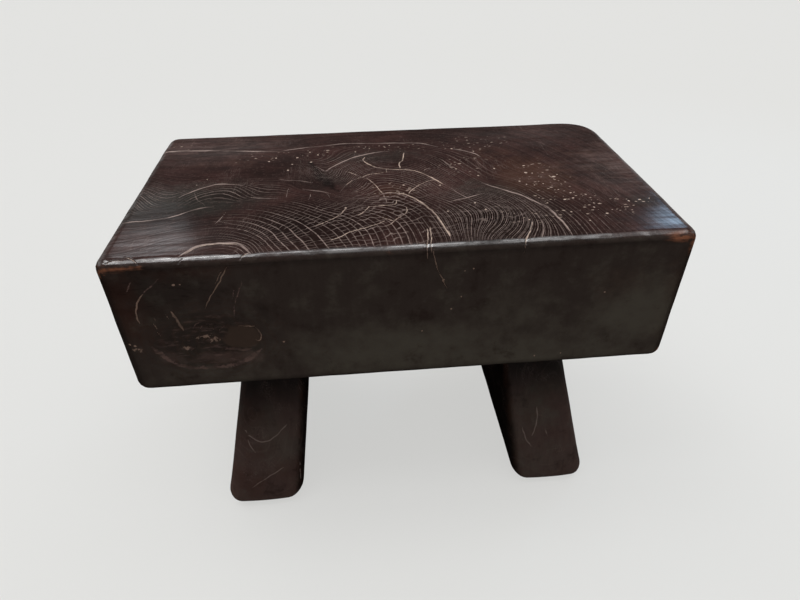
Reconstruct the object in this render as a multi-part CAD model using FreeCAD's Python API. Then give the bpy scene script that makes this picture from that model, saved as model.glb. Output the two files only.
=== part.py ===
"""Block stool: a thick rounded seat block on two splayed slab legs.

Each leg is a tapered slab that grows towards the floor, in the front view and in the side view.
It carries two tenons that stand upright in blind mortises in the underside of the seat.
Two hardwood wedges in each tenon are driven home by the mortise's end as the leg is knocked in.
They spread the tenon into its undercut mortise, so that the leg cannot pull out again.
Felt pads lie in shallow round recesses in the feet.

Frame: +Z up, X along the seat, the front is -Y, and the origin is on the floor under the seat's centre.
"""

import os

import FreeCAD
import Part

# Sizes in millimetres.

# Seat block
seat_length = 610.0
seat_depth = 340.0
seat_thickness = 170.0
seat_height = 395.0
seat_edge_radius = 12.0
seat_corner_radius = 17.0
seat_round_corner_radius = 45.0

# Legs, with their edges still sharp
foot_end_margin = 57.0
foot_width = 102.0
foot_overhang = 4.0
head_end_margin = 106.0
head_width = 81.0
head_depth = 204.0
leg_edge_radius = 16.0

# The pair of legs stands a little to the right of the seat's middle.
leg_pair_shift = 3.0

# Twin tenons on each leg's head
tenon_shoulder = 21.5
tenon_end_margin = 20.0
tenon_spacing = 44.0
tenon_length = 95.0
tenon_corner_radius = 6.0
tenon_spread = 1.5

# Saw kerfs and wedges in each tenon
kerf_width = 2.6
kerf_depth = 62.0
kerf_pitch = 22.0
wedge_reach = 52.0

# Felt pads
pad_diameter = 42.0
pad_thickness = 4.0
pad_recess = 2.5
pad_end_margin = 46.0

# Clearances
glue_gap = 0.2
mortise_spare_depth = 3.0
wedge_face_gap = 0.12
wedge_end_gap = 0.5
pad_gap = 0.25

# Cutting bodies run past the faces that they cut by this much.
overrun = 2.0

# Levels and places that follow from the sizes
foot_level = pad_thickness - pad_recess
seat_underside = seat_height - seat_thickness
tenon_top = seat_underside + tenon_length
mortise_top = tenon_top + mortise_spare_depth
kerf_root = tenon_top - kerf_depth
wedge_tip = tenon_top - wedge_reach
foot_depth = seat_depth + 2 * foot_overhang
foot_middle_offset = seat_length / 2 - foot_end_margin - foot_width / 2
head_middle_offset = seat_length / 2 - head_end_margin - head_width / 2
tenon_thickness = head_width - 2 * tenon_shoulder
tenon_width = (head_depth - tenon_spacing) / 2 - tenon_end_margin
tenon_pitch = tenon_width + tenon_spacing
pad_offset = foot_depth / 2 - pad_end_margin

SIDES = {"left": -1, "right": 1}
ENDS = {"front": -1, "rear": 1}


def point(x, y, z):
    return FreeCAD.Vector(x, y, z)


def foot_middle(side):
    return leg_pair_shift + side * foot_middle_offset


def head_middle(side):
    return leg_pair_shift + side * head_middle_offset


def rectangle_corners(width, depth, centre):
    """The four corners of a level rectangle with its sides on X and Y."""
    signs = ((1, -1), (1, 1), (-1, 1), (-1, -1))
    return [centre + point(sx * width / 2, sy * depth / 2, 0) for sx, sy in signs]


def flat_face(corners):
    return Part.Face(Part.makePolygon(corners + corners[:1]))


def tapered_block(lower, upper):
    """A solid with flat sides between two level rectangles, given by their corners."""
    faces = [flat_face(lower[::-1]), flat_face(upper)]
    for i in range(len(lower)):
        following = (i + 1) % len(lower)
        faces.append(flat_face([lower[i], lower[following], upper[following], upper[i]]))
    return Part.makeSolid(Part.makeShell(faces))


def edges_at_level(shape, level, tolerance):
    """The edges that lie in the level plane."""
    boxes = [(edge, edge.BoundBox) for edge in shape.Edges]
    return [e for e, b in boxes if abs(b.ZMin - level) < tolerance and abs(b.ZMax - level) < tolerance]


def rising_edges(shape, rise):
    """The edges that climb by more than the given rise."""
    return [edge for edge in shape.Edges if edge.BoundBox.ZLength > rise]


def tenon_body(centre_x, centre_y, grown, end_level):
    """A tenon that runs straight up to the kerf's root and spreads above it.

    With grown above zero it is the body that cuts the mortise, larger by that much all round.
    """
    spread_rate = tenon_spread / (tenon_top - kerf_root)
    start_level = seat_underside - overrun
    half_width = tenon_width / 2 + grown
    end_half_width = half_width + spread_rate * (end_level - kerf_root)
    back = centre_x - tenon_thickness / 2 - grown
    levels = ((half_width, start_level), (half_width, kerf_root), (end_half_width, end_level))
    right_side = [point(back, centre_y + half, level) for half, level in levels]
    left_side = [point(back, centre_y - half, level) for half, level in reversed(levels)]
    body = flat_face(right_side + left_side).extrude(point(tenon_thickness + 2 * grown, 0, 0))
    return body.makeFillet(tenon_corner_radius + grown, rising_edges(body, tenon_corner_radius))


def wedge_shape(centre_x, centre_y, thinner, x_width, low_level, high_level):
    """A prism across the tenon whose thickness grows from the kerf's root upwards.

    With no reduction it is the opened kerf itself, and with one it is the wedge that fills it.
    """
    growth = tenon_spread / (tenon_top - kerf_root)

    def half_thickness(level):
        return (kerf_width + growth * (level - kerf_root)) / 2 - thinner

    low = half_thickness(low_level)
    high = half_thickness(high_level)
    back = centre_x - x_width / 2
    outline = [
        point(back, centre_y - low, low_level),
        point(back, centre_y + low, low_level),
        point(back, centre_y + high, high_level),
        point(back, centre_y - high, high_level),
    ]
    return flat_face(outline).extrude(point(x_width, 0, 0))


def tenon_centres():
    """The two tenons' places along the leg."""
    return {end: sign * tenon_pitch / 2 for end, sign in ENDS.items()}


def kerf_centres(tenon_y):
    return [tenon_y + sign * kerf_pitch / 2 for sign in ENDS.values()]


def make_seat_block():
    """The seat: a rounded block with four blind mortises in its underside."""
    corner = point(-seat_length / 2, -seat_depth / 2, seat_underside)
    block = Part.makeBox(seat_length, seat_depth, seat_thickness, corner)
    upright = [e for e in block.Edges if e.BoundBox.ZLength > seat_thickness / 2]
    rounder = [e for e in upright if e.BoundBox.XMin > 0 and e.BoundBox.YMin > 0]
    others = [e for e in upright if not (e.BoundBox.XMin > 0 and e.BoundBox.YMin > 0)]
    block = block.makeFillet(seat_round_corner_radius, rounder)
    placed = [e for e in block.Edges if any(same_line(e, other) for other in others)]
    block = block.makeFillet(seat_corner_radius, placed)
    near = seat_edge_radius / 10
    rim = edges_at_level(block, seat_height, near) + edges_at_level(block, seat_underside, near)
    block = block.makeFillet(seat_edge_radius, rim)
    for side in SIDES.values():
        for tenon_y in tenon_centres().values():
            block = block.cut(tenon_body(head_middle(side), tenon_y, glue_gap, mortise_top))
    return block


def same_line(edge, other):
    """True where two upright edges stand at the same place."""
    apart = edge.BoundBox.Center - other.BoundBox.Center
    return edge.BoundBox.ZLength > seat_thickness / 2 and apart.Length < seat_edge_radius


def make_leg(side):
    """One leg: a slab that splays outwards and grows towards the floor, with its tenons and kerfs."""
    foot_centre = point(foot_middle(side), 0, foot_level)
    head_centre = point(head_middle(side), 0, seat_underside)
    foot = rectangle_corners(foot_width, foot_depth, foot_centre)
    head = rectangle_corners(head_width, head_depth, head_centre)
    leg = tapered_block(foot, head)
    near = leg_edge_radius / 10
    rounded = rising_edges(leg, near) + edges_at_level(leg, foot_level, near)
    leg = leg.makeFillet(leg_edge_radius, rounded)
    middle = head_middle(side)
    for tenon_y in tenon_centres().values():
        leg = leg.fuse(tenon_body(middle, tenon_y, 0, tenon_top))
        for kerf_y in kerf_centres(tenon_y):
            across = tenon_thickness + 2 * overrun
            leg = leg.cut(wedge_shape(middle, kerf_y, 0, across, kerf_root, tenon_top + overrun))
    for end in ENDS.values():
        centre = point(foot_middle(side), end * pad_offset, foot_level - overrun)
        leg = leg.cut(Part.makeCylinder(pad_diameter / 2 + pad_gap, pad_recess + overrun, centre))
    return leg.removeSplitter()


def make_wedges(side, tenon_y):
    """The two wedges of one tenon, which stand against the mortise's end."""
    across = tenon_thickness - 2 * wedge_end_gap
    end_level = mortise_top - glue_gap
    wedges = []
    for kerf_y in kerf_centres(tenon_y):
        wedges.append(
            wedge_shape(head_middle(side), kerf_y, wedge_face_gap, across, wedge_tip, end_level)
        )
    return Part.makeCompound(wedges)


def make_pad(side, end):
    """A felt pad in its recess, proud of the foot."""
    centre = point(foot_middle(side), end * pad_offset, 0)
    return Part.makeCylinder(pad_diameter / 2, pad_thickness, centre)


def single_solid(shape):
    return shape.Solids[0] if len(shape.Solids) == 1 else shape


def main():
    os.makedirs("parts", exist_ok=True)
    pieces = {"seat_block": make_seat_block()}
    for side_name, side in SIDES.items():
        pieces[f"{side_name}_leg"] = make_leg(side)
        for end_name, tenon_y in tenon_centres().items():
            pieces[f"{side_name}_{end_name}_tenon_wedges"] = make_wedges(side, tenon_y)
        for end_name, end in ENDS.items():
            pieces[f"{side_name}_{end_name}_pad"] = make_pad(side, end)
    for name, shape in pieces.items():
        shape = single_solid(shape)
        print(name, len(shape.Solids), "solids, volume", round(shape.Volume), "valid", shape.isValid())
        shape.exportStep(f"parts/{name}.step")


main()
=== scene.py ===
"""Block stool: the looks of a rounded end-grain seat block on two splayed slab legs.

Lengths are in metres and the frame is the CAD model's: +Z up, X along the seat, the front is -Y.
Marks on the seat's top are placed from its front left corner, and marks on its front face from the
lower left corner of that face, in millimetres.
"""

import math

import bmesh
import bpy
import numpy as np
from bpy.props import FloatProperty, FloatVectorProperty, IntProperty, PointerProperty
from mathutils import Matrix, Vector, noise


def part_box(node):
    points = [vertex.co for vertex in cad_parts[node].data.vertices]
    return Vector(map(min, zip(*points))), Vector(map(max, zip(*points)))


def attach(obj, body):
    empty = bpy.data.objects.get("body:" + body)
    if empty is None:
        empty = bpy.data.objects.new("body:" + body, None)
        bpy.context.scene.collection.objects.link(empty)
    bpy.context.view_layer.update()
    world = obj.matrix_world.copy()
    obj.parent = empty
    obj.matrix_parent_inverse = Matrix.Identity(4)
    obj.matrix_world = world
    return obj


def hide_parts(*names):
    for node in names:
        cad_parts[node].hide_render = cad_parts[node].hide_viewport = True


bl_info = {
    "name": "Block stool",
    "version": (1, 0, 0),
    "blender": (4, 5, 0),
    "location": "3D View > Sidebar > Stool",
    "description": "Makes the seat block, the slab legs, their wedges and pads, and a studio floor",
    "category": "Object",
}

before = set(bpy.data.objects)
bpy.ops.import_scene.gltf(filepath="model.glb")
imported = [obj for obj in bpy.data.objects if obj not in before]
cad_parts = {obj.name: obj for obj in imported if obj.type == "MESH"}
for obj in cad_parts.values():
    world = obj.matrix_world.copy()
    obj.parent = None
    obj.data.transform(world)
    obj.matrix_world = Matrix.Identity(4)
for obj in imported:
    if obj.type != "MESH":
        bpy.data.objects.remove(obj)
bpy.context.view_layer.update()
SEAT_LOW, SEAT_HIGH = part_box("seat_block")
SEAT_UNDERSIDE = SEAT_LOW.z
MM = 0.001

SIDES = {"left": -1, "right": 1}
ENDS = {"front": -1, "rear": 1}

# Growth lines of the seat's end grain: an age, and points on the line of that age.
GROWTH_LINES = (
    (0, ((104, -14),)),
    (7, ((83, 11), (94, 25), (109, 31), (126, 31), (142, 25), (152, 9))),
    (10.5, ((25, 17), (62, 38), (92, 46), (121, 46), (140, 35), (160, 10))),
    (13.5, ((10, 38), (42, 48), (92, 64), (121, 67), (144, 57), (165, 31), (177, 11))),
    (17, ((8, 63), (50, 71), (83, 86), (110, 93), (142, 88), (183, 60), (204, 23), (208, 9))),
    (21, ((8, 86), (42, 88), (71, 102), (104, 115), (146, 113), (188, 90), (229, 48), (246, 9))),
    (24.5, ((10, 123), (42, 102), (67, 130), (100, 150), (129, 130), (175, 117), (225, 84), (269, 9))),
    (28, ((10, 161), (51, 127), (75, 160), (117, 170), (146, 133), (198, 123), (246, 94), (294, 9))),
    (37, ((10, 202), (54, 177), (125, 183), (188, 171), (227, 138), (258, 114), (301, 128), (351, 9))),
    (37, ((335, 90), (346, 52))),
    (43, ((10, 219), (125, 200), (196, 180), (242, 135), (271, 163), (310, 161), (346, 113), (373, 9))),
    (50, ((10, 240), (125, 225), (196, 194), (237, 150), (267, 190), (312, 198), (356, 157), (387, 9))),
    (50, ((394, 109), (420, 73), (410, 36))),
    (56, ((10, 261), (125, 248), (192, 215), (223, 169), (244, 198), (292, 228), (342, 215), (425, 9))),
    (56, ((373, 165), (421, 111), (442, 65))),
    (62, ((10, 273), (125, 264), (183, 231), (215, 186), (250, 228), (292, 252), (346, 240), (475, 9))),
    (62, ((378, 196), (408, 142), (458, 86), (473, 40))),
    (68, ((10, 286), (125, 278), (196, 231), (217, 273), (292, 284), (367, 265), (421, 219), (505, 9))),
    (68, ((456, 152), (494, 78))),
    (75, ((10, 315), (179, 294), (250, 309), (333, 307), (442, 257), (500, 152), (550, 9))),
    (84, ((125, 336), (292, 336), (438, 323), (525, 236), (583, 90), (600, 23))),
    (92, ((521, 336), (562, 290), (600, 207))),
)

# Filled drying checks on the seat's top: a width, and the points they pass through.
TOP_CHECKS = (
    (0.8, ((30, 14), (38, 10), (45, 4))),
    (0.8, ((14, 6), (24, 9), (34, 8))),
    (0.9, ((141, 2), (145, 7), (152, 11))),
    (0.7, ((83, 3), (87, 8))),
    (2.1, ((290, 127), (301, 128), (315, 121), (327, 107), (335, 90), (342, 73), (347, 48), (351, 21))),
    (1.8, ((273, 236), (271, 225), (283, 205), (298, 196), (333, 186), (354, 159), (363, 143))),
    (1.5, ((325, 246), (321, 221), (316, 213), (315, 196))),
    (1.2, ((356, 159), (346, 155), (337, 148), (323, 132), (318, 121))),
    (1.3, ((298, 185), (275, 181), (267, 175), (254, 165), (246, 152))),
    (1.0, ((246, 196), (267, 175), (275, 167), (283, 146), (290, 123))),
    (1.0, ((298, 196), (298, 185))),
    (1.2, ((303, 109), (300, 98), (275, 96), (271, 94), (267, 86), (258, 75))),
    (1.1, ((313, 90), (312, 78), (298, 61), (292, 53), (285, 48))),
    (1.0, ((281, 71), (300, 57))),
    (1.3, ((288, 61), (267, 48), (250, 41), (242, 34), (229, 25))),
    (1.0, ((247, 96), (244, 90), (238, 78), (229, 69), (212, 55))),
    (1.1, ((330, 42), (328, 23), (325, 0))),
    (1.1, ((333, 46), (332, 28), (329, 0))),
    (1.1, ((442, 44), (438, 32), (431, 17), (423, 0))),
    (1.5, ((88, 14), (98, 26), (109, 30), (125, 30), (138, 27))),
)

# Pale lines on the seat's top: rings that stand out, and fine checks.
PALE_LINES = (
    (2.9, ((83, 10), (90, 19), (98, 28), (109, 31), (125, 31), (138, 28), (152, 9))),
    (2.0, ((56, 140), (62, 148), (73, 159), (85, 167), (98, 172), (125, 166))),
    (2.0, ((8, 85), (25, 87), (42, 88), (58, 93), (71, 102), (83, 110), (100, 113))),
    (1.5, ((138, 132), (154, 128), (173, 127))),
    (3.8, ((4, 284), (42, 283), (80, 279))),
    (2.2, ((74, 280), (124, 272), (161, 268))),
    (1.7, ((161, 268), (174, 272), (207, 280))),
    (2.0, ((200, 278), (225, 282), (250, 286), (292, 282), (333, 279), (354, 274), (373, 260))),
    (1.9, ((388, 252), (400, 246), (417, 232), (423, 219))),
    (2.2, ((225, 202), (242, 221), (258, 236), (271, 243), (292, 251), (308, 252))),
    (1.3, ((371, 217), (377, 198), (383, 178))),
    (2.2, ((408, 142), (433, 117), (446, 105), (458, 86), (467, 73), (473, 40), (475, 19))),
    (1.3, ((167, 178), (179, 174), (192, 171), (208, 165))),
    (1.5, ((196, 148), (208, 143), (221, 137), (229, 132))),
    (1.2, ((369, 132), (377, 115), (388, 100))),
    (1.1, ((344, 182), (348, 189), (367, 194))),
    (1.0, ((240, 134), (246, 152))),
    (1.0, ((292, 98), (290, 123))),
    (1.0, ((300, 57), (310, 46))),
    (0.9, ((277, 48), (287, 32))),
    (1.0, ((134, 7), (138, 16), (142, 21))),
    (1.0, ((92, 112), (85, 123), (77, 134), (71, 152))),
    (0.9, ((115, 98), (113, 90), (110, 78), (106, 69))),
    (0.9, ((110, 78), (125, 71), (133, 67))),
    (0.9, ((144, 91), (138, 82), (132, 71))),
    (0.9, ((180, 155), (179, 136), (178, 117))),
    (0.9, ((206, 132), (204, 115))),
    (0.9, ((225, 132), (229, 119))),
    (1.0, ((356, 73), (375, 73), (417, 71))),
    (1.2, ((358, 96), (375, 102), (406, 114))),
)

# The dark fold where two lobes of the growth rings meet.
FOLD = (
    (11.0, ((202, 228), (207, 212), (214, 192), (221, 168), (229, 150), (238, 138))),
    (22.0, ((214, 196), (219, 180), (225, 164), (232, 152))),
)

# Filled pores on the seat's top: the place and the diameter.
TOP_PORES = (
    (158, 246, 2.2), (149, 235, 2.0), (185, 244, 2.6), (180, 222, 2.0), (176, 204, 2.4), (212, 250, 2.2),
    (201, 261, 2.0), (204, 227, 2.6), (261, 255, 2.2), (275, 271, 1.6), (280, 265, 1.6), (308, 273, 1.6),
    (79, 187, 1.4), (70, 172, 1.4), (468, 165, 3.0), (471, 186, 2.4), (475, 163, 2.0), (498, 150, 3.6),
    (504, 156, 1.6), (454, 142, 2.0), (460, 132, 1.6), (469, 130, 1.6), (480, 132, 1.6), (493, 115, 1.8),
    (504, 105, 2.0), (508, 106, 1.6), (502, 92, 2.2), (492, 89, 2.6), (465, 96, 1.4), (470, 83, 1.6),
    (527, 52, 2.6), (518, 67, 2.0), (490, 59, 1.8), (562, 78, 2.0), (575, 80, 2.4), (587, 82, 1.6),
    (390, 252, 2.2), (417, 240, 1.8), (432, 182, 2.4), (385, 186, 2.0), (408, 163, 2.0), (315, 146, 2.4),
    (358, 141, 2.2), (390, 92, 2.0), (399, 75, 2.2), (357, 75, 1.8), (362, 52, 1.4), (246, 95, 2.2),
    (440, 47, 1.4), (503, 39, 1.6),
)

# Open cracks and pale chips on the front face.
FRONT_CHECKS = (
    (1.5, ((42, 134), (33, 121), (29, 108), (30, 97))),
    (2.8, ((64, 111), (67, 98), (70, 84))),
    (1.2, ((58, 107), (60, 101))),
    (1.3, ((46, 104), (46, 100))),
    (1.3, ((43, 97), (45, 89))),
    (1.2, ((44, 84), (46, 78))),
    (1.1, ((129, 160), (120, 146), (107, 127), (98, 112))),
    (0.9, ((124, 157), (114, 142))),
    (0.9, ((331, 169), (333, 154), (337, 140), (342, 130), (346, 119))),
    (1.1, ((126, 86), (136, 86), (144, 85))),
    (1.3, ((144, 84), (148, 76), (147, 66), (140, 67))),
)
# The raised ragged lip round the knot, and fine pale scores.
FRONT_LIPS = (
    (3.6, ((34, 66), (42, 53), (52, 41), (66, 34), (85, 32), (104, 32), (120, 35), (133, 42), (147, 54))),
    (2.6, ((108, 55), (118, 56), (127, 54), (136, 55))),
    (1.6, ((62, 151), (52, 143), (42, 134))),
    (1.2, ((141, 146), (136, 132), (129, 117), (125, 96))),
    (1.1, ((131, 134), (127, 121))),
    (1.1, ((36, 150), (28, 138))),
    (1.1, ((80, 86), (85, 92), (88, 93))),
    (1.1, ((87, 84), (91, 91))),
    (1.1, ((95, 84), (96, 93))),
    (1.1, ((101, 83), (104, 91))),
    (1.1, ((107, 82), (114, 89))),
    (1.1, ((76, 72), (70, 70))),
    (1.1, ((78, 62), (72, 57))),
)
FRONT_PORES = (
    (342, 130, 2.2), (362, 108, 1.4), (352, 92, 1.6), (373, 142, 1.4), (171, 62, 2.0), (321, 64, 1.6),
    (518, 102, 1.8), (483, 18, 1.6), (452, 17, 1.6), (74, 143, 2.0), (17, 69, 2.6), (12, 71, 2.0),
    (80, 143, 1.4), (364, 140, 1.2),
)

# Pale grain lines on the legs' front faces: a width, and points along X from the seat's middle and Z.
LEG_LINES = (
    (1.5, ((-207, 116), (-199, 105), (-186, 98), (-170, 104), (-153, 121))),
    (1.3, ((-206, 103), (-202, 92), (-198, 84))),
    (1.2, ((-208, 33), (-185, 47), (-162, 60))),
    (1.3, ((-142, 62), (-143, 32))),
    (1.5, ((176, 119), (177, 96), (171, 76))),
    (1.3, ((157, 91), (164, 72), (172, 60))),
    (1.3, ((189, 86), (193, 74))),
)

# Soft patches on the seat's top: the middle, the reach along X and Y, and the strength.
TOP_PATCHES = {
    "polish": (
        (590, 22, 65, 50, 1.0), (70, 30, 110, 55, 1.0), (20, 120, 50, 60, 0.5), (80, 285, 110, 50, 0.9),
        (585, 150, 60, 80, 1.0), (510, 290, 110, 60, 0.6), (500, 160, 50, 60, 0.4),
    ),
    "ring_show": (
        (228, 45, 105, 68, 1.0), (292, 107, 60, 60, 0.8), (408, 57, 75, 75, 1.0),
        (250, 203, 60, 42, 0.9), (375, 194, 60, 60, 0.5), (104, 155, 70, 35, 0.7),
        (20, 152, 35, 50, 0.35), (330, 160, 60, 60, 0.6), (430, 30, 90, 40, 0.9),
    ),
    "fine_show": (
        (405, 45, 75, 62, 0.85), (240, 190, 45, 35, 0.55), (16, 140, 32, 40, 0.7),
        (360, 130, 40, 60, 0.5),
    ),
    "ray_show": ((245, 50, 130, 60, 1.0), (300, 110, 60, 60, 0.7), (410, 60, 70, 60, 0.5)),
    "speck_show": (
        (565, 78, 30, 10, 0.8), (420, 260, 70, 40, 0.5), (130, 250, 50, 30, 0.4),
        (485, 130, 34, 60, 0.9), (500, 85, 38, 32, 0.9), (525, 57, 40, 12, 0.9),
        (205, 258, 40, 12, 0.9), (290, 265, 90, 25, 0.5), (300, 140, 40, 25, 0.9),
        (400, 200, 60, 50, 0.5), (450, 60, 80, 40, 0.4), (30, 300, 40, 20, 0.5),
    ),
    "olive": (
        (75, 132, 90, 45, 1.0), (417, 98, 60, 70, 0.8), (292, 236, 75, 30, 0.7),
        (225, 165, 32, 38, 0.6), (20, 100, 40, 40, 0.7), (580, 75, 35, 25, 0.6),
    ),
    "deep": (
        (405, 45, 80, 65, 1.4), (315, 75, 45, 60, 0.8), (210, 65, 85, 60, 1.2), (215, 170, 30, 30, 0.8),
        (300, 215, 60, 30, 0.5), (120, 140, 60, 25, 0.5), (40, 100, 50, 25, 0.4),
        (480, 250, 60, 40, 0.3),
    ),
    # Painted sheen: pale patches that stand in for a reflection on the top.
    "painted_sheen": (
        (590, 175, 60, 90, 1.0), (70, 285, 120, 55, 0.9), (480, 150, 60, 60, 0.6),
        (520, 300, 90, 40, 0.5), (60, 60, 60, 40, 0.4),
    ),
    "rust": (
        (471, 152, 55, 70, 1.0), (554, 202, 50, 80, 0.4), (96, 236, 90, 25, 0.4),
        (440, 230, 50, 40, 0.5), (300, 130, 35, 30, 0.6), (295, 70, 25, 30, 0.5),
    ),
}
# The same on the front face.
FRONT_PATCHES = {
    "reddish": (
        (16, 122, 32, 55, 0.75), (90, 158, 80, 14, 0.5), (540, 105, 45, 40, 0.5),
        (600, 80, 30, 70, 0.7),
    ),
    # Low on the front these grey green patches are also a painted floor reflection.
    "mossy_and_reflection": (
        (300, 40, 170, 45, 0.8), (420, 80, 80, 50, 0.5), (265, 120, 25, 15, 0.4),
        (565, 70, 70, 60, 0.9), (100, 20, 120, 30, 0.5), (430, 5, 300, 70, 0.7),
    ),
    "chip": (
        (91, 74, 9, 3.2, 0.85), (100, 69, 6, 4.0, 1.0), (68, 61, 5, 3, 0.8), (18, 63, 7, 2.5, 0.9),
    ),
    "pinkish": ((108, 44, 42, 9, 0.9), (52, 46, 14, 12, 0.5)),
    "dusky": ((45, 138, 75, 42, 0.9), (150, 100, 40, 30, 0.5)),
    "filler": ((132, 73, 19, 16, 1.5), (118, 68, 12, 12, 1.0)),
}
# Where the stain is rubbed off the rims, painted brighter as a copper glint at the corners and at a spot
# halfway along the front rim: the place from the top's front left corner, and the reach.
WORN_AND_GLINTING_CORNERS = (
    (2, 3, -9, 10), (12, 1, -9, 7), (21, 0, -8, 6), (30, 0, -7, 6), (38, 0, -6, 5), (46, 0, -5, 4),
    (607, 3, -9, 20), (588, 1, -7, 17),
    (288, 0, -2, 4), (585, 338, 0, 18), (4, 335, 0, 10), (606, 0, -168, 14),
)


def a_length(label, description, metres):
    return FloatProperty(name=label, description=description, default=metres, unit="LENGTH")


def a_colour(label, description, tone):
    return FloatVectorProperty(name=label, description=description, default=tone, subtype="COLOR")


def an_angle(label, description, degrees):
    value = math.radians(degrees)
    return FloatProperty(name=label, description=description, default=value, subtype="ANGLE")


def a_number(label, description, value):
    return FloatProperty(name=label, description=description, default=value)


class StoolSizes(bpy.types.PropertyGroup):
    """The sizes that shape the pieces."""

    rim_radius: a_length("Rim radius", "Rounding of the seat's long edges", 0.012)
    corner_radius: a_length("Corner radius", "Rounding of the seat's upright edges", 0.017)
    round_corner_radius: a_length("Rear right corner", "Rounding of the roundest corner", 0.045)
    seat_mesh_step: a_length("Seat mesh step", "Spacing of the cuts in the seat", 0.007)
    check_refinement: IntProperty(
        name="Refinement at checks", description="How often the mesh is halved along a check", default=3
    )
    check_depth: a_length("Check depth", "Depth of a drying check", 0.0009)
    pore_depth: a_length("Pore depth", "Depth of a filled pore", 0.0004)
    waviness: a_length("Waviness", "How far hand planing left the faces uneven", 0.0006)
    rim_wear: a_length("Rim wear", "How far the rims are worn down", 0.0007)
    knot_depth: a_length("Knot depth", "How far the knot lies below the front face", 0.0028)
    foot_width: a_length("Foot width", "Width of a leg at the floor", 0.102)
    foot_depth: a_length("Foot depth", "Depth of a leg at the floor", 0.348)
    head_width: a_length("Head width", "Width of a leg under the seat", 0.081)
    head_depth: a_length("Head depth", "Depth of a leg under the seat", 0.204)
    foot_offset: a_length("Foot offset", "From the pair's middle to a foot's", 0.197)
    head_offset: a_length("Head offset", "From the pair's middle to a head's", 0.1585)
    pair_shift: a_length("Pair shift", "From the seat's middle to the pair's", 0.003)
    leg_edge_radius: a_length("Leg edge radius", "Rounding of a leg's edges", 0.019)
    foot_bow: a_length("Foot bow", "How far a foot's underside curves up at its edges", 0.005)
    leg_mesh_step: a_length("Leg mesh step", "Spacing of the cuts in a leg", 0.008)
    foot_level: a_length("Foot level", "Height of the wood above the floor", 0.0015)
    tenon_thickness: a_length("Tenon thickness", "Size of a tenon along X", 0.038)
    tenon_width: a_length("Tenon width", "Size of a tenon along Y", 0.060)
    tenon_pitch: a_length("Tenon pitch", "Between a leg's two tenons", 0.104)
    tenon_length: a_length("Tenon length", "From the seat's underside up", 0.095)
    tenon_spread: a_length("Tenon spread", "Growth of a tenon's half width", 0.0015)
    kerf_width: a_length("Kerf width", "Width of the saw kerf at its root", 0.0026)
    kerf_depth: a_length("Kerf depth", "Depth of the saw kerf", 0.062)
    kerf_pitch: a_length("Kerf pitch", "Between a tenon's two kerfs", 0.022)


class StoolColours(bpy.types.PropertyGroup):
    """The colours of the finishes and of the floor."""

    heart: a_colour("Heartwood", "Reddish brown of the seat", (0.044, 0.0205, 0.0175))
    shade: a_colour("Dark heartwood", "Darkest brown", (0.0135, 0.0072, 0.0062))
    olive: a_colour("Olive zone", "Grey green heartwood", (0.022, 0.0205, 0.0175))
    rust: a_colour("Rust stain", "Orange brown stain", (0.062, 0.027, 0.015))
    chip: a_colour("Chip", "Bare wood in cracks and chips of the front", (0.19, 0.125, 0.096))
    # Also laid as painted shade on the seat's rims that do not face up, at the tops of the legs and on
    # the legs' inner faces.
    pit_and_shade: a_colour("Pit", "Near black of folds and hollows", (0.003, 0.0022, 0.002))
    # Also laid on the top in patches as painted sheen.
    streak: a_colour("Pale streak", "Soft light bands of the end grain", (0.095, 0.06, 0.053))
    reddish: a_colour("Reddish side", "Red brown zones of the sides", (0.034, 0.0135, 0.0095))
    # Also laid low on the front face as a painted floor reflection.
    mossy_and_reflection: a_colour("Mossy side", "Grey green zones of the sides", (0.056, 0.048, 0.038))
    filler: a_colour("Knot filling", "Smooth brown filling of the knot", (0.04, 0.0262, 0.02))
    lip: a_colour("Knot lip", "Pinkish brown lip round the knot", (0.1, 0.063, 0.054))
    ring: a_colour("Ring line", "Pale growth ring", (0.33, 0.25, 0.22))
    dust: a_colour("Filled check", "Pale filling of checks and pores", (0.42, 0.32, 0.26))
    # The worn tone is brightened to also paint a copper glint on the seat's corners.
    wear_and_glint: a_colour("Worn edge", "Wood where the stain is rubbed off", (0.23, 0.088, 0.046))
    side: a_colour("Side grain", "Stained sides of the seat", (0.0305, 0.0226, 0.0192))
    leg: a_colour("Leg", "Stained legs", (0.052, 0.032, 0.0275))
    wedge: a_colour("Wedge", "Pale wedge wood", (0.42, 0.27, 0.145))
    felt: a_colour("Felt", "Grey brown felt", (0.045, 0.038, 0.033))
    floor: a_colour("Floor", "Pale studio floor", (0.737, 0.737, 0.721))


class StoolStudio(bpy.types.PropertyGroup):
    """The camera, the lights and the floor."""

    camera_place: FloatVectorProperty(
        name="Camera place", description="Where the lens is", subtype="XYZ",
        default=(-0.0489, -0.65489, 0.68958),
    )
    camera_yaw: an_angle("Yaw", "Turn towards +X", 4.835)
    camera_pitch: an_angle("Pitch", "Turn down from level", 36.201)
    camera_roll: an_angle("Roll", "Turn about the view", -0.608)
    lens: a_number("Lens", "Focal length in millimetres", 26.03)
    horizon_strength: a_number("Horizon", "Light from the horizon", 0.14)
    zenith_strength: a_number("Zenith", "Light from straight above", 0.8)
    lamp_strength: a_number("Lamp", "Light of each ceiling lamp", 0.074)
    bounce_strength: a_number("Bounce", "Light off the ceiling", 0.46)
    window_power: FloatProperty(
        name="Window", description="Power of the cool window light", default=3.5, unit="POWER"
    )
    shadow_softening: FloatProperty(
        name="Shadow softening", description="How far the camera sees past the floor's shadow",
        default=0.78, subtype="FACTOR",
    )


def stool_sizes():
    return bpy.context.scene.stool_sizes


def stool_colours():
    return bpy.context.scene.stool_colours


# Shaping

# Edges of a leg shorter than this are closed up, and on the seat those shorter than half of it.
LEAST_EDGE = 0.0003


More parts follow.
